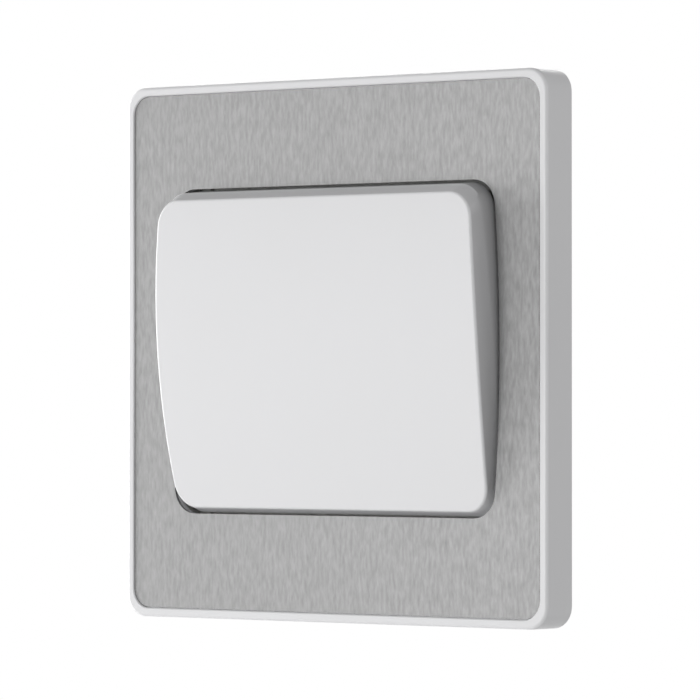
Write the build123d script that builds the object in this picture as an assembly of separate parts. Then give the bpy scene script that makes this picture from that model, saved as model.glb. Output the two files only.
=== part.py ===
from build123d import *
import math
import os

# A one-gang two-way wall switch: a wide rocker in a clip-on moulded surround with a steel fascia.
# Millimetres, X to the right, Y into the wall, Z up. Y = 0 is the wall face and the room is at -Y.

# Clip-on surround
PLATE = 95.0
PLATE_CORNER = 3.9
PLATE_DEPTH = 7.0
PLATE_EDGE = 0.65
RIM = 1.6
RIM_INNER_EDGE = 0.2
SURROUND_WALL = 1.75
SURROUND_FLOOR = 1.4
APERTURE_LIP = 0.2
HOOK_X = 22.0
HOOK_WIDTH = 6.0
HOOK_THICK = 1.2
HOOK_BARB = 0.9
HOOK_SLACK = 0.4

# Steel fascia
FASCIA_THICK = 0.5
FASCIA_SUNK = 0.3
FASCIA_GAP = 0.3
FASCIA_CORNER = 3.2
OPENING_HALF_W = 37.2
OPENING_HALF_H = 28.9
OPENING_BOW = 305.0
OPENING_CORNER = 4.6

# Rocker paddle, drawn level and then tilted into the pose that it rests in
ROCKER_TILT = 5.58
PIVOT_BEHIND_STEEL = 2.5
CROWN_PROUD = 5.05
FACE_BOW = 194.0
SIDE_GAP = 0.5
END_GAP = 0.4
LEDGE = 0.35
LEDGE_PROUD = 0.3
LEDGE_RISE = 0.25
SIDE_DRAFT = 0.1
END_DRAFT = 1.55
FACE_EDGE = 0.55
PADDLE_WALL = 1.6
PADDLE_FACE = 1.8
PADDLE_DEPTH_BEHIND_STEEL = 3.7
SKIRT_RELIEF = 0.8
DEEP_SKIRT_HALF_X = 32.0
PADDLE_RIB = 1.0
PADDLE_RIB_X = (-27.0, -18.0, 18.0, 27.0)
PADDLE_RIB_Z = (-16.0, 16.0)

# Rocker cradle
PLATFORM_HALF_X = 11.6
PLATFORM_HALF_Z = 9.0
PLATFORM_THICK = 1.4
PLATFORM_ABOVE_PIVOT = 2.4
CHEEK_OUTER = 9.6
CHEEK_THICK = 1.6
CHEEK_WRAP = 0.5
TRUNNION_R = 1.4
TRUNNION_LENGTH = 2.2
RUNNING_GAP = 0.05
TUBE_R = 2.7
TUBE_BORE_R = 1.9
TUBE_REACH = 6.8
CATCH_WIDTH = 8.0
CATCH_THICK = 1.2
CATCH_BARB = 0.8
SNAP_GAP = 0.1

# Plunger and its spring
PLUNGER_NOSE_R = 1.2
PLUNGER_REACH = 11.6
PLUNGER_SKIRT = 3.8
PLUNGER_BACK = 3.6
SPIGOT_R = 0.8
SPIGOT = 1.5
SPRING_WIRE_R = 0.2
SPRING_MEAN_R = 1.3
SPRING_TURNS = 5
SPRING_WIRE_SIDES = 4

# Mounting frame
FRAME_SIDE_GAP = 1.75
FRAME_CORNER = 2.4
FRAME_WALL = 1.2
FRAME_BASE = 1.8
WINDOW_MARGIN = 1.4
FRAME_FLOOR = 0.8
TROUGH_HALF_X = 33.0
TROUGH_DEPTH = 0.3
TROUGH_WIDTH = 4.8
BAND_HALF_H = 13.0
CENTRE_HALF_X = 21.0
CENTRE_HALF_Z = 20.0
FIXING_SPACING = 60.3
FIXING_HOLE_R = 2.1
FIXING_BOSS_R = 4.2
FIXING_BOSS = 0.8
POCKET_DEPTH = 0.9
POCKET_X = 23.5
POCKET_WIDTH = 28.0
POCKET_HEIGHT = 7.0
SNAP_ARM_WIDTH = 7.0

# Mechanism housing and its cover
HOUSING_HALF_X = 17.0
HOUSING_HALF_Z = 15.5
HOUSING_DEPTH = 13.0
HOUSING_EDGE = 0.8
TOWER_HALF_X = 4.6
TOWER_LENGTH = 10.4
TOWER_DEPTH = 8.0
COVER_MARGIN_X = 2.0
COVER_MARGIN_Z = 1.9
COVER_THICK = 1.6
COVER_WELL_HALF_Z = 10.6
COVER_WELL_WALL = 1.2
COVER_SLOT_HALF_X = 3.4
COVER_SLOT_HALF_Z = 4.1
POST = 3.6
UPRIGHT_GAP = 0.4
UPRIGHT_THICK = 1.8
UPRIGHT_WRAP = 0.6
PART_GAP = 0.1
COVER_SCREW_INSET_X = 2.4
COVER_SCREW_INSET_Z = 7.5
COVER_SCREW_R = 1.1
COVER_SCREW_LENGTH = 9.0
COVER_HEAD_R = 2.1
COVER_HEAD = 1.3

# Contacts
STRIP_THICK = 0.6
STRIP_FLOOR = 11.3
STRIP_WIDTH = 3.2
STRIP_TIP_X = 1.9
CHAMBER_HALF_X = 5.2
CHAMBER_HALF_Z = 10.6
FULCRUM_Y = 7.9
CONTACT_RATIO = 1.5
CONTACT_THICK = 0.8
CONTACT_HALF_X = 2.2
CONTACT_HALF_Z = 9.5
CONTACT_ARM = 8.0
EAR_HALF_Z = 0.5
EAR_END_X = 4.3
CHEEK_PLATE_X = 3.0
CHEEK_PLATE_THICK = 0.8
CHEEK_PLATE_RISE = 0.9
NOTCH_HALF = 0.85
BRIDGE_HALF_Z = 1.9
TIP_R = 1.4
TIP_HEIGHT = 0.55
CONTACT_GAP = 0.4

# Terminals
TERMINAL_INSET_X = 8.0
TERMINAL_INSET_Z = 5.5
TERMINAL_WIDTH = 6.0
TERMINAL_LENGTH = 7.0
TERMINAL_BORE_R = 2.2
TERMINAL_FRONT_WALL = 0.6
TERMINAL_REAR_WALL = 1.6
TERMINAL_SCREW_R = 1.45
TERMINAL_HEAD_R = 2.6
TERMINAL_HEAD = 1.6
TERMINAL_SHANK = 3.6
SCREW_WELL_R = 2.9
WIRE_ENTRY_R = 2.7
SLOT_WIDTH = 0.7
SLOT_DEPTH = 0.8
THREAD_GAP = 0.03

# Earth terminal and strap
EARTH_X = 23.6
EARTH_Z = -9.6
EARTH_WIDTH = 6.0
EARTH_LENGTH = 6.0
EARTH_FRONT_WALL = 1.7
EARTH_SEAT = 0.3
EARTH_RIVET_R = 1.5
EARTH_RIVET_HEAD_R = 2.2
EARTH_RIVET_HEAD = 0.7
STRAP_WIDTH = 3.4
STRAP_THICK = 0.4
STRAP_STAND_OFF = 1.2
STRAP_FINGER = 2.2
STRAP_BEND = 0.6

# Places worked out from the sizes above
FASCIA_FRONT = FASCIA_SUNK - PLATE_DEPTH
FASCIA_HALF = PLATE / 2 - RIM - FASCIA_GAP
FLOOR_FRONT = FASCIA_FRONT + FASCIA_THICK
FLOOR_REAR = FLOOR_FRONT + SURROUND_FLOOR
PIVOT_Y = FASCIA_FRONT + PIVOT_BEHIND_STEEL
CROWN_Y = FASCIA_FRONT - CROWN_PROUD
SKIRT_REAR = FASCIA_FRONT + PADDLE_DEPTH_BEHIND_STEEL
LEDGE_Y = FASCIA_FRONT - LEDGE_PROUD
PLATFORM_REAR = PIVOT_Y - PLATFORM_ABOVE_PIVOT
PLATFORM_FRONT = PLATFORM_REAR - PLATFORM_THICK
FRAME_HALF = PLATE / 2 - SURROUND_WALL - FRAME_SIDE_GAP
WINDOW_HALF_W = OPENING_HALF_W + WINDOW_MARGIN
WINDOW_HALF_H = OPENING_HALF_H + WINDOW_MARGIN
HOUSING_FRONT = -FRAME_BASE
COVER_FRONT = HOUSING_FRONT - COVER_THICK
COVER_SCREW_X = HOUSING_HALF_X - COVER_SCREW_INSET_X
COVER_SCREW_Z = HOUSING_HALF_Z - COVER_SCREW_INSET_Z
TERMINAL_X = HOUSING_HALF_X - TERMINAL_INSET_X
TERMINAL_Z = HOUSING_HALF_Z - TERMINAL_INSET_Z
COVER_HALF_X = HOUSING_HALF_X + COVER_MARGIN_X
COVER_HALF_Z = HOUSING_HALF_Z + COVER_MARGIN_Z
WELL_REAR = HOUSING_FRONT + COVER_THICK
UPRIGHT_INNER = CHEEK_OUTER + UPRIGHT_GAP
COVER_WELL_HALF_X = UPRIGHT_INNER
STRIP_FRONT = STRIP_FLOOR - STRIP_THICK
BORE_Y = STRIP_FLOOR + TERMINAL_FRONT_WALL + TERMINAL_BORE_R
TERMINAL_REAR = BORE_Y + TERMINAL_BORE_R + TERMINAL_REAR_WALL
TOWER_REAR = HOUSING_DEPTH + TOWER_DEPTH
CONTACT_SWING = CONTACT_RATIO * ROCKER_TILT
STRAP_FINGER_X = WINDOW_HALF_W + FRAME_WALL + STRAP_STAND_OFF
EARTH_REAR = EARTH_FRONT_WALL + 2 * TERMINAL_BORE_R + TERMINAL_REAR_WALL - EARTH_SEAT


def slab(outline, rear, front):
    """Solid of an outline seen from the front, between two depths."""
    return extrude(Plane.XZ.offset(-rear) * outline, rear - front)


def block(x, y, z):
    """Box between a low and a high value on each axis."""
    limits = (x, y, z)
    centre = [(low + high) / 2 for low, high in limits]
    size = [high - low for low, high in limits]
    return Pos(*centre) * Box(*size)


def pin_x(radius, y, z, low, high):
    return extrude(Plane.YZ.offset(low) * Pos(y, z) * Circle(radius), high - low)


def pin_y(radius, x, z, rear, front):
    return slab(Pos(x, z) * Circle(radius), rear, front)


def pin_z(radius, x, y, low, high):
    return extrude(Plane.XY.offset(low) * Pos(x, y) * Circle(radius), high - low)


def mirrored(solid, plane):
    return solid + mirror(solid, plane)


def barrel(half_w, half_h, bow, corner):
    """Outline with a straight top and bottom and sides that bow outwards."""
    corner_x = half_w - bow + math.sqrt(bow**2 - half_h**2)
    right = ThreePointArc((corner_x, -half_h), (half_w, 0), (corner_x, half_h))
    left = ThreePointArc((-corner_x, half_h), (-half_w, 0), (-corner_x, -half_h))
    top = Line(right @ 1, left @ 0)
    bottom = Line(left @ 1, right @ 0)
    return fillet(make_face([right, top, left, bottom]).vertices(), corner)


def opening(margin):
    """The opening round the rocker, grown by a margin."""
    return barrel(
        OPENING_HALF_W + margin,
        OPENING_HALF_H + margin,
        OPENING_BOW + margin,
        OPENING_CORNER + margin,
    )


def turned(solid, y, angle):
    """Solid turned about the line along X at depth y and z = 0."""
    return Pos(0, y, 0) * Rot(angle, 0, 0) * Pos(0, -y, 0) * solid


def in_pose(solid):
    """Solid of the rocker, tilted with its top out and its bottom pressed in."""
    return turned(solid, PIVOT_Y, ROCKER_TILT)


def front_surround():
    """Hollow tray with a recess for the steel, an aperture and four catch hooks."""
    body = slab(RectangleRounded(PLATE, PLATE, PLATE_CORNER), 0, -PLATE_DEPTH)
    body = fillet(body.faces().sort_by(Axis.Y)[0].edges(), PLATE_EDGE)
    recess_size = 2 * (FASCIA_HALF + FASCIA_GAP)
    recess = RectangleRounded(recess_size, recess_size, FASCIA_CORNER + FASCIA_GAP)
    body -= slab(recess, FLOOR_FRONT, -PLATE_DEPTH)
    rim = body.faces().sort_by(Axis.Y)[0]
    body = chamfer(rim.inner_wires()[0].edges(), RIM_INNER_EDGE)
    hollow_size = PLATE - 2 * SURROUND_WALL
    hollow = RectangleRounded(hollow_size, hollow_size, PLATE_CORNER - SURROUND_WALL)
    body -= slab(hollow, 0, FLOOR_REAR)
    body -= slab(opening(APERTURE_LIP), FLOOR_REAR, FLOOR_FRONT)
    body -= strap_window()
    for side in (-1, 1):
        body += mirrored(catch_hook(side * HOOK_X), Plane.XY)
    return body


def catch_hook(x):
    """Spring leg behind the floor, with a barb that catches in the frame's outer wall."""
    outer_z = FRAME_HALF - FRAME_WALL - HOOK_SLACK
    half = HOOK_WIDTH / 2
    leg_rear = -FRAME_BASE - HOOK_SLACK
    profile = Polyline(
        (FLOOR_REAR, outer_z - HOOK_THICK),
        (leg_rear, outer_z - HOOK_THICK),
        (leg_rear, outer_z),
        (leg_rear - HOOK_BARB, outer_z + HOOK_BARB),
        (leg_rear - HOOK_BARB - HOOK_SLACK / 2, outer_z + HOOK_BARB),
        (leg_rear - HOOK_BARB - HOOK_SLACK / 2, outer_z),
        (FLOOR_REAR, outer_z),
        close=True,
    )
    return extrude(Plane.YZ.offset(x - half) * make_face(profile), HOOK_WIDTH)


def steel_fascia():
    """Flat sheet with the opening for the rocker."""
    sheet = RectangleRounded(2 * FASCIA_HALF, 2 * FASCIA_HALF, FASCIA_CORNER)
    return slab(sheet - opening(0), FLOOR_FRONT, FASCIA_FRONT)


def paddle_block(inset, crown, rear):
    """Skirt, ledge and drafted wall of the paddle, shrunk by an inset, under its bowed face."""

    def outline(side, end):
        return barrel(
            OPENING_HALF_W - SIDE_GAP - inset - side,
            OPENING_HALF_H - END_GAP - inset - end,
            OPENING_BOW,
            OPENING_CORNER - inset,
        )

    skirt = slab(outline(0, 0), rear, LEDGE_Y)
    ledge_front = LEDGE_Y - LEDGE_RISE
    wall_front = CROWN_Y - FACE_EDGE
    base = Plane.XZ.offset(-LEDGE_Y) * outline(0, 0)
    shoulder = Plane.XZ.offset(-ledge_front) * outline(LEDGE, LEDGE)
    rim = Plane.XZ.offset(-wall_front) * outline(LEDGE + SIDE_DRAFT, LEDGE + END_DRAFT)
    solid = skirt + loft([base, shoulder], ruled=True) + loft([shoulder, rim], ruled=True)
    reach = 2 * OPENING_HALF_W
    radius = FACE_BOW - (crown - CROWN_Y)
    return solid & pin_x(radius, CROWN_Y + FACE_BOW, 0, -reach, reach)


def paddle_catches():
    """Four ribs that sit on the cradle and two hooks that grip its platform."""
    inner = CROWN_Y + PADDLE_FACE / 2
    half = CATCH_WIDTH / 2
    leg_z = PLATFORM_HALF_Z + SNAP_GAP
    tip = PLATFORM_REAR + SNAP_GAP + CATCH_BARB
    leg = block((-half, half), (inner, tip), (leg_z, leg_z + CATCH_THICK))
    barb = block((-half, half), (tip - CATCH_BARB, tip), (leg_z - CATCH_BARB, leg_z))
    catches = mirrored(leg + barb, Plane.XY)
    for x in (-PLATFORM_HALF_X + PADDLE_RIB, -half, half, PLATFORM_HALF_X - PADDLE_RIB):
        span = (x - PADDLE_RIB / 2, x + PADDLE_RIB / 2)
        catches += block(span, (inner, PLATFORM_FRONT), (-PLATFORM_HALF_Z, PLATFORM_HALF_Z))
    return catches


def rocker_paddle():
    """Hollow moulded rocker, open at the back, with a shallower skirt at its sides."""
    body = paddle_block(0, CROWN_Y, SKIRT_REAR)
    body = fillet(body.faces().sort_by(Axis.Y)[0].edges(), FACE_EDGE)
    inner_crown = CROWN_Y + PADDLE_FACE
    body -= paddle_block(PADDLE_WALL, inner_crown, SKIRT_REAR)
    relief = block(
        (DEEP_SKIRT_HALF_X, OPENING_HALF_W),
        (SKIRT_REAR - SKIRT_RELIEF, SKIRT_REAR),
        spans(0, OPENING_HALF_H),
    )
    body -= mirrored(relief, Plane.YZ)
    inside_x = OPENING_HALF_W - SIDE_GAP - PADDLE_WALL
    inside_z = OPENING_HALF_H - END_GAP - PADDLE_WALL
    depth = (CROWN_Y + PADDLE_FACE / 2, PLATFORM_FRONT)
    ribs = Part()
    for x in PADDLE_RIB_X:
        ribs += block((x - PADDLE_RIB / 2, x + PADDLE_RIB / 2), depth, (-inside_z, inside_z))
    for z in PADDLE_RIB_Z:
        ribs += block((-inside_x, inside_x), depth, (z - PADDLE_RIB / 2, z + PADDLE_RIB / 2))
    ribs &= paddle_block(PADDLE_WALL / 2, CROWN_Y + PADDLE_FACE / 2, SKIRT_REAR)
    return in_pose(body + ribs + paddle_catches())


def rocker_cradle():
    """Platform under the paddle, two cheeks with trunnions, and the tube that holds the spring."""
    platform = block(
        (-PLATFORM_HALF_X, PLATFORM_HALF_X),
        (PLATFORM_FRONT, PLATFORM_REAR),
        (-PLATFORM_HALF_Z, PLATFORM_HALF_Z),
    )
    wrap = TRUNNION_R + CHEEK_WRAP
    cheek_inner = CHEEK_OUTER - CHEEK_THICK
    cheek = block((cheek_inner, CHEEK_OUTER), (PLATFORM_REAR, PIVOT_Y), (-wrap, wrap))
    cheek += pin_x(wrap, PIVOT_Y, 0, cheek_inner, CHEEK_OUTER)
    cheek += pin_x(TRUNNION_R, PIVOT_Y, 0, CHEEK_OUTER, CHEEK_OUTER + TRUNNION_LENGTH)
    web = block(
        (0, CHEEK_OUTER - CHEEK_THICK / 2),
        (PLATFORM_REAR, PIVOT_Y),
        (-PADDLE_RIB / 2, PADDLE_RIB / 2),
    )
    tube_rear = PIVOT_Y + TUBE_REACH
    body = platform + mirrored(cheek + web, Plane.YZ)
    body += pin_y(TUBE_R, 0, 0, tube_rear, PLATFORM_REAR)
    body -= pin_y(TUBE_BORE_R, 0, 0, tube_rear, PLATFORM_REAR)
    return in_pose(body)


def plunger():
    """Moulded pin with a guided skirt, a blunt nose and a spigot inside the spring."""
    tip = PIVOT_Y + PLUNGER_REACH
    back = PIVOT_Y + PLUNGER_BACK
    guide_r = TUBE_BORE_R - RUNNING_GAP
    body = pin_y(guide_r, 0, 0, back + PLUNGER_SKIRT, back)
    nose = pin_y(PLUNGER_NOSE_R, 0, 0, tip, back + PLUNGER_SKIRT)
    body += chamfer(nose.edges().sort_by(Axis.Y)[-1], PLUNGER_NOSE_R / 2)
    body += pin_y(SPIGOT_R, 0, 0, back, back - SPIGOT)
    return in_pose(body)


def plunger_spring():
    """Coil spring between the closed end of the tube and the back of the plunger."""
    start = PLATFORM_REAR + SPRING_WIRE_R
    length = PIVOT_Y + PLUNGER_BACK - SPRING_WIRE_R - start
    path = Helix(length / SPRING_TURNS, length, SPRING_MEAN_R)
    section = RegularPolygon(SPRING_WIRE_R, SPRING_WIRE_SIDES)
    wire = Plane(origin=path @ 0, z_dir=path % 0) * section
    coil = sweep(wire, path=path, is_frenet=True)
    return in_pose(Pos(0, start, 0) * Rot(-90, 0, 0) * coil)


def mounting_frame():
    """Moulded tray with walls round its edge and round the rocker, screwed to the wall box."""
    outline = RectangleRounded(2 * FRAME_HALF, 2 * FRAME_HALF, FRAME_CORNER)
    inner_size = 2 * (FRAME_HALF - FRAME_WALL)
    inner = RectangleRounded(inner_size, inner_size, FRAME_CORNER - FRAME_WALL)
    window = opening(WINDOW_MARGIN)
    ring = slab(outline, 0, -FRAME_BASE) - slab(window, -FRAME_FLOOR, -FRAME_BASE)
    ring += slab(outline - inner, 0, FLOOR_REAR)
    ring += slab(opening(WINDOW_MARGIN + FRAME_WALL) - window, 0, FLOOR_REAR)
    ring += mirrored(trough(FRAME_FLOOR), Plane.XY)
    ring -= mirrored(trough(0), Plane.XY)
    ring = frame_centre(ring)
    ring -= rear_pockets()
    slot_rear = -FRAME_BASE - HOOK_SLACK / 2
    slot_front = slot_rear - HOOK_BARB - 2 * HOOK_SLACK
    half = HOOK_WIDTH / 2 + HOOK_SLACK
    for side in (-1, 1):
        span = (side * HOOK_X - half, side * HOOK_X + half)
        slot = block(span, (slot_front, slot_rear), (FRAME_HALF - 1.5 * FRAME_WALL, FRAME_HALF))
        ring -= mirrored(slot, Plane.XY)
    strap_half = STRAP_WIDTH / 2 + HOOK_SLACK
    ring -= block(
        (WINDOW_HALF_W - FRAME_WALL, WINDOW_HALF_W + 2 * FRAME_WALL),
        (FLOOR_REAR, -FRAME_BASE),
        (EARTH_Z - strap_half, EARTH_Z + strap_half),
    )
    return ring


def trough(wall):
    """Space for the deep end of the pressed skirt, sunk behind the wall face, grown by a wall."""
    top = WINDOW_HALF_H + wall
    low = WINDOW_HALF_H - TROUGH_WIDTH - wall
    half = TROUGH_HALF_X + wall
    return block((-half, half), (-FRAME_FLOOR, TROUGH_DEPTH + wall), (low, top))


def frame_centre(body):
    """Frame with a thick band for the two fixing holes and the seat for the mechanism."""
    body += block(spans(0, WINDOW_HALF_W), (-FRAME_BASE, 0), spans(0, BAND_HALF_H))
    body += block(spans(0, CENTRE_HALF_X), (-FRAME_BASE, 0), spans(0, CENTRE_HALF_Z))
    for side in (-1, 1):
        x = side * FIXING_SPACING / 2
        body += pin_y(FIXING_BOSS_R, x, 0, 0, -FRAME_BASE - FIXING_BOSS)
        body -= pin_y(FIXING_HOLE_R, x, 0, 0, -FRAME_BASE - FIXING_BOSS)
    seat_x = HOUSING_HALF_X + PART_GAP
    seat_z = HOUSING_HALF_Z + PART_GAP
    body -= block((-seat_x, seat_x), (-FRAME_BASE, 0), (-seat_z, seat_z))
    body -= pin_y(EARTH_RIVET_R + THREAD_GAP, EARTH_X, EARTH_Z, 0, -FRAME_BASE)
    body -= block(
        spans(EARTH_X, EARTH_WIDTH / 2 + PART_GAP),
        (-EARTH_SEAT, 0),
        spans(EARTH_Z, EARTH_LENGTH / 2 + PART_GAP),
    )
    return body + mirrored(snap_arm(), Plane.XY)


def snap_arm():
    """Arm beside the cover with a barb over its front face."""
    half = SNAP_ARM_WIDTH / 2
    inner = COVER_HALF_Z + PART_GAP
    tip = COVER_FRONT - FRAME_WALL
    arm = block((-half, half), (tip, 0), (inner, inner + FRAME_WALL))
    return arm + block((-half, half), (tip, COVER_FRONT), (inner - HOOK_BARB, inner))


def rear_pockets():
    """Shallow cored pockets in the back of the frame."""
    z = (WINDOW_HALF_H + FRAME_HALF) / 2
    pocket = Rectangle(POCKET_WIDTH, POCKET_HEIGHT)
    places = [Pos(sx * POCKET_X, sz * z) * pocket for sx in (-1, 1) for sz in (-1, 1)]
    return slab(Sketch() + places, 0, -POCKET_DEPTH)


def terminal_places():
    """Name and place of each terminal: x, and the side of the housing that its wire enters."""
    return {
        "l1": (-TERMINAL_X, 1),
        "l2": (-TERMINAL_X, -1),
        "common": (TERMINAL_X, -1),
    }


def spans(centre, half):
    return (centre - half, centre + half)


def mechanism_housing():
    """Moulded box with a contact chamber, three terminal towers and their wire entries."""
    body = block(
        spans(0, HOUSING_HALF_X), (HOUSING_FRONT, HOUSING_DEPTH), spans(0, HOUSING_HALF_Z)
    )
    body = chamfer(body.edges().filter_by(Axis.Y), HOUSING_EDGE)
    for x, side in terminal_places().values():
        tower_z = side * (HOUSING_HALF_Z - TOWER_LENGTH / 2)
        tower = block(
            spans(x, TOWER_HALF_X), (HOUSING_DEPTH, TOWER_REAR), spans(tower_z, TOWER_LENGTH / 2)
        )
        body += chamfer(tower.edges().filter_by(Axis.Y), HOUSING_EDGE)
    body -= housing_cavities()
    for x, side in terminal_places().values():
        body -= pin_y(SCREW_WELL_R, x, side * TERMINAL_Z, TOWER_REAR, TERMINAL_REAR)
        mouth = side * HOUSING_HALF_Z
        low, high = sorted((side * TERMINAL_Z, mouth))
        body -= pin_z(WIRE_ENTRY_R, x, BORE_Y, low, high)
    for x, z in cover_screw_places():
        hole_rear = COVER_FRONT + COVER_SCREW_LENGTH + 1
        body -= pin_y(COVER_SCREW_R + THREAD_GAP, x, z, hole_rear, HOUSING_FRONT)
    return body


def housing_cavities():
    """Mouth for the cover's well, the contact chamber, and a shaft and a channel to each terminal."""
    well_x = COVER_WELL_HALF_X + COVER_WELL_WALL + PART_GAP
    well_z = COVER_WELL_HALF_Z + COVER_WELL_WALL + PART_GAP
    cut = block(spans(0, well_x), (HOUSING_FRONT, WELL_REAR), spans(0, well_z))
    cut += block(
        spans(0, CHAMBER_HALF_X), (HOUSING_FRONT, STRIP_FLOOR), spans(0, CHAMBER_HALF_Z)
    )
    half_w = TERMINAL_WIDTH / 2 + PART_GAP
    half_l = TERMINAL_LENGTH / 2 + PART_GAP
    for x, side in terminal_places().values():
        z = side * TERMINAL_Z
        cut += block(spans(x, half_w), (HOUSING_FRONT, TERMINAL_REAR), spans(z, half_l))
    bridge_z = BRIDGE_HALF_Z + PART_GAP
    reach = TERMINAL_X + half_w
    depth = (HOUSING_FRONT, STRIP_FLOOR)
    cut += block((0, reach), depth, spans(0, bridge_z))
    cut += block(spans(TERMINAL_X, half_w), depth, (-TERMINAL_Z, bridge_z))
    for side in (-1, 1):
        strip_half = STRIP_WIDTH / 2 + PART_GAP
        cut += block((-reach, 0), depth, spans(side * contact_z(), strip_half))
    return cut


def contact_z():
    """Height at which the moving tip meets the fixed one."""
    swing = math.radians(CONTACT_SWING)
    lever = CONTACT_THICK / 2 + TIP_HEIGHT
    return CONTACT_ARM * math.cos(swing) - lever * math.sin(swing)


def cover_screw_places():
    return [(side * COVER_SCREW_X, side * COVER_SCREW_Z) for side in (-1, 1)]


def mechanism_cover():
    """Lid of the housing, sunk in the middle, with bearing uprights and posts onto the contacts."""
    plate = RectangleRounded(2 * COVER_HALF_X, 2 * COVER_HALF_Z, 2 * HOUSING_EDGE)
    body = slab(plate, HOUSING_FRONT, COVER_FRONT)
    well_x = COVER_WELL_HALF_X + COVER_WELL_WALL
    well_z = COVER_WELL_HALF_Z + COVER_WELL_WALL
    body += block(spans(0, well_x), (COVER_FRONT, WELL_REAR), spans(0, well_z))
    body -= block(
        spans(0, COVER_WELL_HALF_X), (COVER_FRONT, HOUSING_FRONT), spans(0, COVER_WELL_HALF_Z)
    )
    body -= block(
        spans(0, COVER_SLOT_HALF_X), (COVER_FRONT, WELL_REAR), spans(0, COVER_SLOT_HALF_Z)
    )
    wrap = TRUNNION_R + UPRIGHT_WRAP
    outer = UPRIGHT_INNER + UPRIGHT_THICK
    upright = block((UPRIGHT_INNER, outer), (PIVOT_Y, COVER_FRONT), (-wrap, wrap))
    upright += pin_x(wrap, PIVOT_Y, 0, UPRIGHT_INNER, outer)
    bore = pin_x(TRUNNION_R + RUNNING_GAP, PIVOT_Y, 0, UPRIGHT_INNER, outer)
    body += mirrored(upright, Plane.YZ)
    body -= mirrored(bore, Plane.YZ)
    for x, side in terminal_places().values():
        post = (WELL_REAR, STRIP_FRONT)
        body += block(spans(x, POST / 2), post, spans(side * contact_z(), STRIP_WIDTH / 2))
    for x, z in cover_screw_places():
        body -= pin_y(COVER_SCREW_R + THREAD_GAP, x, z, HOUSING_FRONT, COVER_FRONT)
    return body


def cover_screws():
    """Two self-tapping screws with bevelled heads, at opposite corners of the cover."""
    screw = pin_y(COVER_SCREW_R, 0, 0, COVER_FRONT + COVER_SCREW_LENGTH, COVER_FRONT)
    head = pin_y(COVER_HEAD_R, 0, 0, COVER_FRONT, COVER_FRONT - COVER_HEAD)
    screw += chamfer(head.edges().sort_by(Axis.Y)[0], COVER_HEAD / 3)
    return Compound([Pos(x, 0, z) * screw.solid() for x, z in cover_screw_places()])


def button(height):
    """Contact button standing on the plane Y = 0 towards +Y, with a bevelled rim."""
    body = pin_y(TIP_R, 0, 0, height, 0)
    return chamfer(body.edges().sort_by(Axis.Y)[-1], height / 2)


def rocking_contact():
    """Level strip with an ear each side at its fulcrum and rounded ends."""
    strip = RectangleRounded(2 * CONTACT_HALF_X, 2 * CONTACT_HALF_Z, CONTACT_HALF_X / 2)
    ears = Rectangle(2 * EAR_END_X, 2 * EAR_HALF_Z)
    rear = FULCRUM_Y + CONTACT_THICK / 2
    return slab(strip + ears, rear, rear - CONTACT_THICK)


def moving_tip(side):
    rear = FULCRUM_Y + CONTACT_THICK / 2
    return Pos(0, rear, side * CONTACT_ARM) * button(TIP_HEIGHT)


def swung(solid):
    """Solid of the rocking contact, with its upper tip home when the rocker's top is out."""
    return turned(solid, FULCRUM_Y, -CONTACT_SWING)


def fixed_tip(side):
    """Button on a fixed strip, a small gap short of the moving tip."""
    swing = math.radians(CONTACT_SWING)
    lever = CONTACT_THICK / 2 + TIP_HEIGHT
    meet = FULCRUM_Y + lever * math.cos(swing) + CONTACT_ARM * math.sin(swing)
    height = STRIP_FRONT - meet - CONTACT_GAP
    return Pos(0, STRIP_FRONT, side * contact_z()) * Rot(180, 0, 0) * button(height)


def fixed_contact(side):
    """Stamped strip from the contact chamber to its terminal."""
    half = TERMINAL_WIDTH / 2 - PART_GAP
    bar = block((-TERMINAL_X - half, STRIP_TIP_X), (STRIP_FRONT, STRIP_FLOOR),
                spans(contact_z(), STRIP_WIDTH / 2))
    tab = block(spans(-TERMINAL_X, half), (STRIP_FRONT, STRIP_FLOOR),
                (contact_z(), TERMINAL_Z + TERMINAL_LENGTH / 2))
    strip = bar + tab
    return strip if side > 0 else mirror(strip, Plane.XY)


def common_bridge():
    """Stamped strip with two notched cheeks that carry the rocking contact, run to its terminal."""
    half = TERMINAL_WIDTH / 2 - PART_GAP
    depth = (STRIP_FRONT, STRIP_FLOOR)
    cheek_outer = CHEEK_PLATE_X + CHEEK_PLATE_THICK
    body = block((-cheek_outer, TERMINAL_X + half), depth, spans(0, BRIDGE_HALF_Z))
    body += block(spans(TERMINAL_X, half), depth,
                  (-TERMINAL_Z - TERMINAL_LENGTH / 2, BRIDGE_HALF_Z))
    front = FULCRUM_Y - CHEEK_PLATE_RISE
    cheek = block((CHEEK_PLATE_X, cheek_outer), (front, STRIP_FRONT), spans(0, BRIDGE_HALF_Z))
    notch = block((CHEEK_PLATE_X, cheek_outer), (front, FULCRUM_Y), spans(0, NOTCH_HALF))
    notch += pin_x(NOTCH_HALF, FULCRUM_Y, 0, CHEEK_PLATE_X, cheek_outer)
    return body + mirrored(cheek - notch, Plane.YZ)


def terminal_block(x, z, front, wall, width, length):
    """Brass block with a wire bore along Z behind a wall and a tapped hole from the rear."""
    bore_y = front + wall + TERMINAL_BORE_R
    rear = bore_y + TERMINAL_BORE_R + TERMINAL_REAR_WALL
    body = block(spans(x, width / 2), (front, rear), spans(z, length / 2))
    body -= pin_z(TERMINAL_BORE_R, x, bore_y, z - length / 2, z + length / 2)
    return body - pin_y(TERMINAL_SCREW_R + THREAD_GAP, x, z, rear, bore_y)


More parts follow.
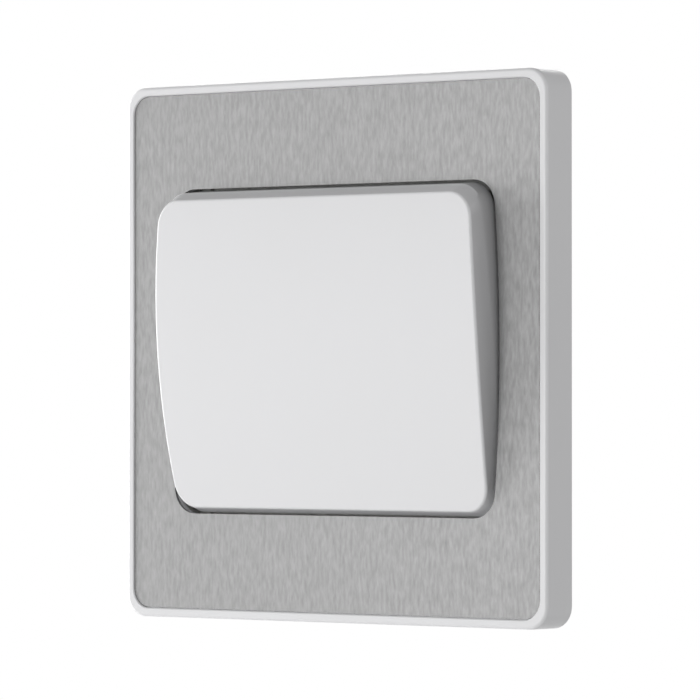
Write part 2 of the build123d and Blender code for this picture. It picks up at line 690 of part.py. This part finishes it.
def terminal_screw(x, z, rear):
    """Slotted screw backed off until its tip clears the wire bore."""
    tip = rear - TERMINAL_REAR_WALL + PART_GAP
    head_front = tip + TERMINAL_SHANK
    head_rear = head_front + TERMINAL_HEAD
    head = pin_y(TERMINAL_HEAD_R, x, z, head_rear, head_front)
    shank = pin_y(TERMINAL_SCREW_R, x, z, head_front, tip)
    slot = block(
        spans(x, TERMINAL_HEAD_R), (head_rear - SLOT_DEPTH, head_rear), spans(z, SLOT_WIDTH / 2)
    )
    return shank + head - slot


def earth_terminal():
    """Earth block behind the frame, riveted through it and the strap."""
    body = terminal_block(
        EARTH_X, EARTH_Z, -EARTH_SEAT, EARTH_FRONT_WALL, EARTH_WIDTH, EARTH_LENGTH
    )
    strap_front = -FRAME_BASE - STRAP_THICK
    body += pin_y(EARTH_RIVET_R, EARTH_X, EARTH_Z, -EARTH_SEAT, strap_front)
    head = pin_y(EARTH_RIVET_HEAD_R, EARTH_X, EARTH_Z, strap_front, strap_front - EARTH_RIVET_HEAD)
    return body + chamfer(head.edges().sort_by(Axis.Y)[0], EARTH_RIVET_HEAD / 2)


def strap_window():
    """Window in the surround's floor for the end of the earth strap."""
    half = STRAP_WIDTH / 2 + HOOK_SLACK
    x = (STRAP_FINGER_X - STRAP_BEND - HOOK_SLACK, STRAP_FINGER_X + STRAP_FINGER + HOOK_SLACK)
    return block(x, (FLOOR_FRONT, FLOOR_REAR), spans(EARTH_Z, half))


def earth_strap():
    """Folded strap on the frame, with a spring finger against the back of the steel."""
    outer = STRAP_THICK
    low = -FRAME_BASE
    path = Polyline(
        (EARTH_X - STRAP_WIDTH / 2, low),
        (STRAP_FINGER_X, low),
        (STRAP_FINGER_X, FLOOR_FRONT + outer),
        (STRAP_FINGER_X + STRAP_FINGER, FLOOR_FRONT + outer),
    )
    back = Polyline(
        (EARTH_X - STRAP_WIDTH / 2, low - outer),
        (STRAP_FINGER_X - outer, low - outer),
        (STRAP_FINGER_X - outer, FLOOR_FRONT),
        (STRAP_FINGER_X + STRAP_FINGER, FLOOR_FRONT),
    )
    ends = [Line(path @ 0, back @ 0), Line(path @ 1, back @ 1)]
    profile = make_face([*path.edges(), *back.edges(), *ends])
    strap = extrude(Plane.XY.offset(EARTH_Z - STRAP_WIDTH / 2) * profile, STRAP_WIDTH)
    return strap - pin_y(EARTH_RIVET_R + THREAD_GAP, EARTH_X, EARTH_Z, low, low - outer)


def build():
    """Every separate piece, by the name of its node."""
    pieces = {
        "front_surround": front_surround(),
        "steel_fascia": steel_fascia(),
        "rocker_paddle": rocker_paddle(),
        "rocker_cradle": rocker_cradle(),
        "plunger": plunger(),
        "plunger_spring": plunger_spring(),
        "mounting_frame": mounting_frame(),
        "mechanism_housing": mechanism_housing(),
        "mechanism_cover": mechanism_cover(),
        "cover_screws": cover_screws(),
        "rocking_contact": swung(rocking_contact()),
        "upper_moving_tip": swung(moving_tip(1)),
        "lower_moving_tip": swung(moving_tip(-1)),
        "common_bridge": common_bridge(),
        "fixed_contact_l1": fixed_contact(1),
        "fixed_contact_l2": fixed_contact(-1),
        "l1_contact_tip": fixed_tip(1),
        "l2_contact_tip": fixed_tip(-1),
        "earth_terminal": earth_terminal(),
        "earth_screw": terminal_screw(EARTH_X, EARTH_Z, EARTH_REAR),
        "earth_strap": earth_strap(),
    }
    for name, (x, side) in terminal_places().items():
        z = side * TERMINAL_Z
        pieces["terminal_block_" + name] = terminal_block(
            x, z, STRIP_FLOOR, TERMINAL_FRONT_WALL, TERMINAL_WIDTH, TERMINAL_LENGTH
        )
        pieces["terminal_screw_" + name] = terminal_screw(x, z, TERMINAL_REAR)
    return pieces


os.makedirs("parts", exist_ok=True)
for node, solid in build().items():
    export_step(solid, "parts/" + node + ".step")
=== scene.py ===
import bpy
import math
from mathutils import Matrix, Vector


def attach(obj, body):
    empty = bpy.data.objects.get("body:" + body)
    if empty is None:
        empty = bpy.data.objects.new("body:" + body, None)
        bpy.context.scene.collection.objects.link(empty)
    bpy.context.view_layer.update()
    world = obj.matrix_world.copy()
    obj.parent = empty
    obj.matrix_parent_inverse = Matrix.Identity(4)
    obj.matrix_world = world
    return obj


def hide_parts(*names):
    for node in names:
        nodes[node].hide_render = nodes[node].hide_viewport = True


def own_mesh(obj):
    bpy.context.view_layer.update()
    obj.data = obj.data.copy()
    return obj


# A wide rocker light switch: white rocker and surround round a brushed steel fascia, with the mounting
# frame and the changeover mechanism behind. Metres, X to the right, Y into the wall, Z up.

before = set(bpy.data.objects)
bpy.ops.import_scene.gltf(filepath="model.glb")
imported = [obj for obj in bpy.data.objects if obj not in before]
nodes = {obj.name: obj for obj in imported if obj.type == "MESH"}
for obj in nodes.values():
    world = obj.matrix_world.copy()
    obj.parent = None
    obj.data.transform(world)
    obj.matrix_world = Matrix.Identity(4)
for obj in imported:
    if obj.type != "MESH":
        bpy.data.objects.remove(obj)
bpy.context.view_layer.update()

MM = 0.001
MERGE_DISTANCE = 0.001 * MM
SMOOTH_BELOW = math.radians(22)

# The rocker's rest pose: how far it tips from level, and the axis of its trunnions
ROCKER_TILT = math.radians(5.58)
ROCKER_PIVOT = Vector((0, -4.2, 0)) * MM

# The camera, fitted to the photo's edges
CAMERA_PLACE = (0.5682, -0.6911, -0.0095)
CAMERA_HEADING = (-0.6359, 0.7718)
CAMERA_PITCH = math.radians(0.614)
CAMERA_LENS = 262.4
SENSOR_WIDTH = 36

# Soft lamps, all aimed at the plate's middle: place, width, height and power in watts
LAMPS = {
    "key": ((-0.15, -1.19, -0.04), 0.8, 0.6, 7.6),
    "left": ((-1.18, -0.21, 0.0), 0.8, 0.6, 11.5),
    "rear_right": ((1.14, 0.37, 0.45), 0.9, 0.9, 4.9),
    "rear_left": ((-0.77, 0.92, 0.40), 0.9, 1.1, 8),
}
WORLD_LIGHT = 0.12

# The floor, well below the switch and a little behind it
FLOOR_SIZE = 1.6
FLOOR_PLACE = (0, 0.2, -0.6)


# Between these two values lies most of a noise pattern
NOISE_LOW, NOISE_HIGH = 0.3, 0.7


def colour(hex_value):
    """An sRGB hex colour as linear RGBA."""
    channels = [int(hex_value[i:i + 2], 16) / 255 for i in (0, 2, 4)]
    linear = [c / 12.92 if c <= 0.04045 else ((c + 0.055) / 1.055) ** 2.4 for c in channels]
    return (*linear, 1.0)


def add(tree, kind, inputs=None, **settings):
    """Adds a node, sets its settings, and fills its inputs with values or with other nodes' outputs."""
    node = tree.nodes.new(kind)
    for name, value in settings.items():
        setattr(node, name, value)
    for name, value in (inputs or {}).items():
        if isinstance(value, bpy.types.NodeSocket):
            tree.links.new(value, node.inputs[name])
        else:
            node.inputs[name].default_value = value
    return node


def new_material(name):
    """A material with an empty node tree, and the place of each point of the piece."""
    material = bpy.data.materials.new(name)
    material.use_nodes = True
    tree = material.node_tree
    tree.nodes.clear()
    place = add(tree, "ShaderNodeTexCoord").outputs["Object"]
    return material, tree, place


def moulded(name, base, shade, grain, cloud, roughness, ior, relief):
    """Moulded plastic: the tool's grain in relief, and slow clouds of tone and gloss where the melt cooled
    unevenly. Grain, cloud and relief are in mm."""
    glossier, duller = 0.04, 0.05
    material, tree, place = new_material(name)
    fine = add(tree, "ShaderNodeTexNoise", {"Vector": place, "Scale": 1 / (grain * MM), "Detail": 3.0,
                                            "Roughness": 0.55})
    slow = add(tree, "ShaderNodeTexNoise", {"Vector": place, "Scale": 1 / (cloud * MM), "Detail": 2.0})
    tone = add(tree, "ShaderNodeMix", {0: slow.outputs["Fac"], 6: colour(base), 7: colour(shade)},
               data_type="RGBA")
    gloss = add(tree, "ShaderNodeMapRange", {"Value": slow.outputs["Fac"], "From Min": NOISE_LOW,
                                             "From Max": NOISE_HIGH, "To Min": roughness - glossier,
                                             "To Max": roughness + duller})
    bump = add(tree, "ShaderNodeBump", {"Height": fine.outputs["Fac"], "Distance": relief * MM,
                                        "Strength": 0.5})
    shader = add(tree, "ShaderNodeBsdfPrincipled", {"Base Color": tone.outputs[2],
                                                    "Roughness": gloss.outputs["Result"],
                                                    "Normal": bump.outputs["Normal"], "IOR": ior})
    add(tree, "ShaderNodeOutputMaterial", {"Surface": shader.outputs[0]})
    return material


def metal(name, base, shade, along_z, streak, roughness, relief):
    """Metal with the marks that its making left, streak mm wide and 1 / along_z times as long up and down.
    The tone and the gloss change together from one mark to the next."""
    spread = 0.06
    material, tree, place = new_material(name)
    along = add(tree, "ShaderNodeMapping", {"Vector": place, "Scale": (1, 1, along_z)})
    lines = add(tree, "ShaderNodeTexNoise", {"Vector": along.outputs["Vector"], "Scale": 1 / (streak * MM),
                                             "Detail": 2.0, "Roughness": 0.6})
    tone = add(tree, "ShaderNodeMix", {0: lines.outputs["Fac"], 6: colour(base), 7: colour(shade)},
               data_type="RGBA")
    gloss = add(tree, "ShaderNodeMapRange", {"Value": lines.outputs["Fac"], "From Min": NOISE_LOW,
                                             "From Max": NOISE_HIGH, "To Min": roughness - spread,
                                             "To Max": roughness + spread})
    bump = add(tree, "ShaderNodeBump", {"Height": lines.outputs["Fac"], "Distance": relief * MM,
                                        "Strength": 0.5})
    shader = add(tree, "ShaderNodeBsdfPrincipled", {"Base Color": tone.outputs[2], "Metallic": 1.0,
                                                    "Roughness": gloss.outputs["Result"],
                                                    "Normal": bump.outputs["Normal"]})
    add(tree, "ShaderNodeOutputMaterial", {"Surface": shader.outputs[0]})
    return material


FINISHES = {
    # Polycarbonate, injection moulded in a finely blasted tool: a clean, faintly cool white with wide, soft
    # highlights. The 0.12 mm grain is the tool's own and shows only close up. The gloss drifts over
    # 18 mm, about a fifth of the plate.
    "white_moulding": moulded("white_polycarbonate", "EDEDEE", "E8E8EA", grain=0.12, cloud=18,
                              roughness=0.38, ior=1.58, relief=0.004),

    # Stainless sheet, brushed up and down with an abrasive belt: a satin grey with short upright hairlines
    # and no sharp reflections. The belt's lines are about 0.05 mm wide, too fine to show, so they are
    # drawn 0.62 mm wide and 2.3 mm long, as coarse as the photo blends them.
    "steel_sheet": metal("brushed_stainless", "8E8E8E", "717171", along_z=0.27, streak=0.62,
                         roughness=0.5, relief=0.002),

    # The same polycarbonate in a coarser tool, off-white and matt, since the wall hides it. Its grain
    # is 0.18 mm.
    "frame_moulding": moulded("frame_polycarbonate", "E4E4E1", "DCDCD9", grain=0.18, cloud=12,
                              roughness=0.55, ior=1.58, relief=0.01),

    # Nylon filled with short glass fibres, moulded: a dull cool grey, slightly rough where the fibres lie
    # at the skin. The fibres are about 0.25 mm long, which sets the grain.
    "mechanism_moulding": moulded("glass_filled_nylon", "C2C4C7", "B4B6B9", grain=0.25, cloud=9,
                                  roughness=0.6, ior=1.53, relief=0.02),

    # Acetal in its natural colour, moulded: a milky, warm white with a waxy sheen, the slippery plastic
    # that bearings and plungers are made of.
    "cradle_moulding": moulded("natural_acetal", "E2E1DB", "DAD9D2", grain=0.2, cloud=8,
                               roughness=0.45, ior=1.48, relief=0.006),

    # Carbon steel spring wire, drawn through a die: bright grey with faint die marks. The real marks are
    # about 0.01 mm, too fine to show on 0.4 mm wire, and are drawn 0.15 mm.
    "spring_wire": metal("spring_wire_steel", "B4B4B6", "9A9A9C", along_z=1, streak=0.15,
                         roughness=0.28, relief=0.002),

    # Phosphor bronze strip, rolled and stamped: a warm copper brown, bright, with straight rolling lines
    # along the strip. They are about 0.02 mm wide, and are drawn 0.2 mm to show.
    "contact_strip": metal("phosphor_bronze_strip", "D6A070", "C08A5A", along_z=0.15, streak=0.2,
                           roughness=0.3, relief=0.002),

    # Silver alloy contact buttons, headed cold and tumbled: nearly white and softly dull, with no lines.
    # Tumbling leaves dents of about 0.3 mm.
    "silver_tip": metal("silver_alloy_contact", "DADADA", "C8C8C8", along_z=1, streak=0.3,
                        roughness=0.35, relief=0.002),

    # Free-cutting brass, machined from drawn bar: bright yellow with lines along the bar, which are about
    # 0.03 mm wide and are drawn 0.2 mm to show.
    "terminal_brass": metal("machined_brass", "D9B873", "C7A45C", along_z=0.2, streak=0.2,
                            roughness=0.28, relief=0.002),

    # Steel screws, cold headed and zinc plated: a cool silver grey, faintly cloudy where the plating
    # thickened, in patches of about 0.4 mm.
    "plated_screw": metal("zinc_plated_steel", "C4C6C6", "AFB1B2", along_z=1, streak=0.4,
                          roughness=0.32, relief=0.003),

    # Copper strap dipped in tin: pale and smooth, with runs of the tin along it, 0.3 mm wide.
    "tinned_strap": metal("tinned_copper_strap", "CFCFCE", "BDBDBC", along_z=0.15, streak=0.3,
                          roughness=0.36, relief=0.003),
}


def finish_nodes():
    """Gives each CAD node the finish that its slot names."""
    for piece in nodes.values():
        for holder in piece.material_slots:
            holder.material = FINISHES[holder.material.name.split(".")[0]]


def merged_copy(source, name):
    """A copy of a CAD node with its loose triangles joined, ready to be shaped."""
    bpy.ops.object.select_all(action="DESELECT")
    source.select_set(True)
    bpy.context.view_layer.objects.active = source
    bpy.ops.object.duplicate()
    piece = bpy.context.active_object
    piece.name = name
    bpy.ops.mesh.customdata_custom_splitnormals_clear()
    bpy.ops.object.mode_set(mode="EDIT")
    bpy.ops.mesh.select_mode(type="VERT")
    bpy.ops.mesh.select_all(action="SELECT")
    bpy.ops.mesh.remove_doubles(threshold=MERGE_DISTANCE)
    bpy.ops.object.mode_set(mode="OBJECT")
    return piece


def select_points(piece, chosen):
    """Selects the points whose place is chosen, and leaves the piece in edit mode."""
    bpy.ops.object.mode_set(mode="EDIT")
    bpy.ops.mesh.select_all(action="DESELECT")
    bpy.ops.object.mode_set(mode="OBJECT")
    for vertex in piece.data.vertices:
        vertex.select = chosen(vertex.co)
    bpy.ops.object.mode_set(mode="EDIT")


def on_level_rocker(place):
    """A place on the rocker at rest, as it is with the rocker turned level, in mm."""
    turned = Matrix.Rotation(-ROCKER_TILT, 3, "X") @ (place - ROCKER_PIVOT)
    return (turned + ROCKER_PIVOT) / MM


def rocker_shell():
    """The paddle, with its ledge drawn out to the soft shoulder that runs up into the walls."""
    half_width, half_height, corner, bow = 36.35, 28.15, 4.6, 1.3
    ledge_front, ledge_slack, edge_slack = -7.25, 0.02, 0.15
    forward, widen = 0.45, 0.23
    piece = merged_copy(nodes["rocker_paddle"], "rocker_shell")

    def on_ledge(place):
        """Whether a place is on the ledge's outer edge: its four sides and its rounded corners."""
        x, y, z = on_level_rocker(place)
        out = math.hypot(max(abs(x) - half_width + corner + bow, 0), max(abs(z) - half_height + corner, 0))
        return abs(y - ledge_front) < ledge_slack and out > corner - edge_slack

    select_points(piece, on_ledge)
    to_the_room = Vector((0, -math.cos(ROCKER_TILT), -math.sin(ROCKER_TILT)))
    bpy.ops.transform.translate(value=to_the_room * forward * MM)
    bpy.ops.transform.resize(value=(1 + widen / half_width, 1, 1), center_override=(0, 0, 0))
    bpy.ops.object.mode_set(mode="OBJECT")
    bpy.ops.object.shade_smooth_by_angle(angle=SMOOTH_BELOW)
    # The large flat facets keep their own normals, so that the fillets' shading stays at the edges
    weighted = piece.modifiers.new("weighted_normals", "WEIGHTED_NORMAL")
    weighted.weight = 100
    weighted.keep_sharp = True
    bpy.ops.object.modifier_apply(modifier=weighted.name)
    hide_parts("rocker_paddle")
    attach(piece, "rocker")


def steel_inlay():
    """The fascia sheet, spread at its edges so that it stands close to the rim."""
    edge, spread = 42.2, 0.17
    piece = merged_copy(nodes["steel_fascia"], "steel_inlay")
    for way in (Vector((1, 0, 0)), Vector((-1, 0, 0)), Vector((0, 0, 1)), Vector((0, 0, -1))):
        select_points(piece, lambda place: place.dot(way) > edge * MM)
        bpy.ops.transform.translate(value=way * spread * MM)
    bpy.ops.object.mode_set(mode="OBJECT")
    bpy.ops.object.shade_smooth_by_angle(angle=SMOOTH_BELOW)
    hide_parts("steel_fascia")
    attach(piece, "base")


def round_wire_spring():
    """The plunger's coil spring in round wire, wound once at a fixed length and carried with the rocker."""
    fixed_end, free_end, travel = -6.6, -0.6, 1.2
    wire, coil, turns = 0.2, 1.3, 5
    wire_sides, steps = 12, 28
    bpy.ops.object.select_all(action="DESELECT")
    bpy.ops.mesh.primitive_circle_add(vertices=wire_sides, radius=wire * MM,
                                      location=(coil * MM, (fixed_end + wire) * MM, 0))
    piece = bpy.context.active_object
    piece.name = "round_wire_spring"
    bpy.ops.object.transform_apply(location=True, rotation=True, scale=True)
    winding = piece.modifiers.new("winding", "SCREW")
    winding.axis = "Y"
    winding.screw_offset = (free_end - fixed_end - 2 * wire) / turns * MM
    winding.iterations = turns
    winding.steps = steps
    winding.render_steps = steps
    bpy.ops.object.modifier_apply(modifier=winding.name)
    # Close the wire's two cut ends
    bpy.ops.object.mode_set(mode="EDIT")
    bpy.ops.mesh.select_mode(type="EDGE")
    bpy.ops.mesh.select_all(action="DESELECT")
    bpy.ops.mesh.select_non_manifold()
    bpy.ops.mesh.fill()
    bpy.ops.mesh.select_all(action="SELECT")
    bpy.ops.mesh.normals_make_consistent(inside=False)
    bpy.ops.object.mode_set(mode="OBJECT")
    # Wound level, then tipped with the rocker
    piece.data.transform(Matrix.Translation(ROCKER_PIVOT) @ Matrix.Rotation(ROCKER_TILT, 4, "X")
                         @ Matrix.Translation(-ROCKER_PIVOT))
    bpy.ops.object.shade_smooth_by_angle(angle=math.radians(40))
    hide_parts("plunger_spring")
    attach(piece, "rocker")
    piece.data.materials.append(FINISHES["spring_wire"])
    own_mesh(piece)


def camera():
    data = bpy.data.cameras.new("camera")
    data.sensor_width = SENSOR_WIDTH
    data.lens = CAMERA_LENS
    data.clip_start = 0.05
    item = bpy.data.objects.new("camera", data)
    bpy.context.scene.collection.objects.link(item)
    item.location = CAMERA_PLACE
    x, y = CAMERA_HEADING
    level = math.cos(CAMERA_PITCH)
    ahead = Vector((x * level, y * level, math.sin(CAMERA_PITCH)))
    item.rotation_mode = "QUATERNION"
    item.rotation_quaternion = ahead.to_track_quat("-Z", "Y")
    bpy.context.scene.camera = item


def lamp(name, place, width, height, power):
    data = bpy.data.lights.new(name, "AREA")
    data.shape = "RECTANGLE"
    data.size = width
    data.size_y = height
    data.energy = power
    item = bpy.data.objects.new(name, data)
    bpy.context.scene.collection.objects.link(item)
    item.location = place
    item.rotation_mode = "QUATERNION"
    item.rotation_quaternion = (-Vector(place)).to_track_quat("-Z", "Y")


def white_room():
    """A world that is white to the camera, through clear pieces and in gloss, and a soft even light to
    everything else. Gloss that is seen only by way of a matt surface gets the soft light too, so that the
    white adds no light to the object."""
    world = bpy.data.worlds.new("white_room")
    bpy.context.scene.world = world
    world.use_nodes = True
    tree = world.node_tree
    tree.nodes.clear()
    path = add(tree, "ShaderNodeLightPath")
    direct = add(tree, "ShaderNodeMath", {0: path.outputs["Diffuse Depth"], 1: 0.5}, operation="LESS_THAN")
    mirrored = add(tree, "ShaderNodeMath", {0: path.outputs["Is Glossy Ray"], 1: direct.outputs[0]},
                   operation="MULTIPLY")
    seen = add(tree, "ShaderNodeMath", {0: path.outputs["Is Camera Ray"], 1: mirrored.outputs[0]},
               operation="MAXIMUM")
    seen = add(tree, "ShaderNodeMath", {0: seen.outputs[0], 1: path.outputs["Is Transmission Ray"]},
               operation="MAXIMUM")
    soft = add(tree, "ShaderNodeBackground", {"Color": colour("FFFFFF"), "Strength": WORLD_LIGHT})
    white = add(tree, "ShaderNodeBackground", {"Color": colour("FFFFFF"), "Strength": 1.0})
    mix = add(tree, "ShaderNodeMixShader", {0: seen.outputs[0], 1: soft.outputs[0], 2: white.outputs[0]})
    add(tree, "ShaderNodeOutputWorld", {"Surface": mix.outputs[0]})


def pale_floor():
    """A plain pale floor, which sends a little light up to the undersides."""
    bpy.ops.object.select_all(action="DESELECT")
    bpy.ops.mesh.primitive_plane_add(size=FLOOR_SIZE, location=FLOOR_PLACE)
    floor = bpy.context.active_object
    floor.name = "floor"
    material, tree, _ = new_material("pale_floor")
    paint = add(tree, "ShaderNodeBsdfDiffuse", {"Color": colour("F4F4F4")})
    add(tree, "ShaderNodeOutputMaterial", {"Surface": paint.outputs[0]})
    floor.data.materials.append(material)


finish_nodes()
rocker_shell()
steel_inlay()
round_wire_spring()

bpy.context.scene.view_settings.view_transform = "Standard"
camera()
white_room()
for name, (place, width, height, power) in LAMPS.items():
    lamp(name, place, width, height, power)
pale_floor()
